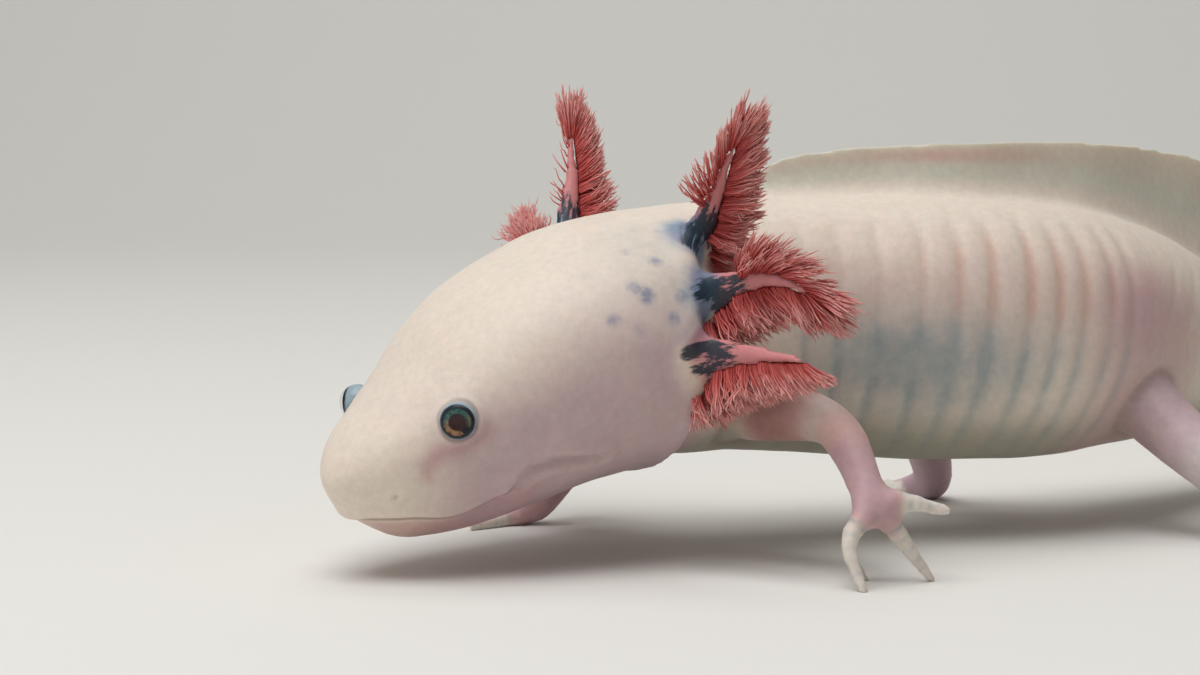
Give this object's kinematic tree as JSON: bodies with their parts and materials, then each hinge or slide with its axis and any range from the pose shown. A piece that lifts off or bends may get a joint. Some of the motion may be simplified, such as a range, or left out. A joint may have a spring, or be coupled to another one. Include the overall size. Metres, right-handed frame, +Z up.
{
  "type": "axolotl",
  "caption": "Pale adult axolotl standing on its legs, head low and turned, tail curved, with feathery red gills; a still life-size model.",
  "frame": {"origin": "on the floor, under the middle of the animal's box", "axes": "+X from the head towards the tail tip, +Y towards the animal's right side, +Z up"},
  "size_m": [0.2, 0.0948, 0.0506],
  "materials": {
    "skin": "moist, soft skin, pale cream with pink and grey",
    "gill_skin": "wet, fine red filaments on dark stalks",
    "eye": "clear wet dome over a dark pupil"
  },
  "bodies": {
    "root": {"head": "skin", "lower_jaw": "skin", "neck": "skin", "trunk_front": "skin", "trunk_rear": "skin", "pelvis": "skin", "tail_base": "skin", "tail_middle": "skin", "tail_end": "skin", "dorsal_fin": "skin", "tail_fin_upper": "skin", "tail_fin_lower": "skin", "foreleg_left_upper": "skin", "foreleg_left_lower": "skin", "hand_left": "skin", "hindleg_left_upper": "skin", "hindleg_left_lower": "skin", "foot_left": "skin", "foreleg_right_upper": "skin", "foreleg_right_lower": "skin", "hand_right": "skin", "hindleg_right_upper": "skin", "hindleg_right_lower": "skin", "foot_right": "skin", "gill_left_1": "gill_skin", "gill_left_2": "gill_skin", "gill_left_3": "gill_skin", "gill_right_1": "gill_skin", "gill_right_2": "gill_skin", "gill_right_3": "gill_skin", "eye_left": "eye", "eye_right": "eye"}
  },
  "joints": []
}
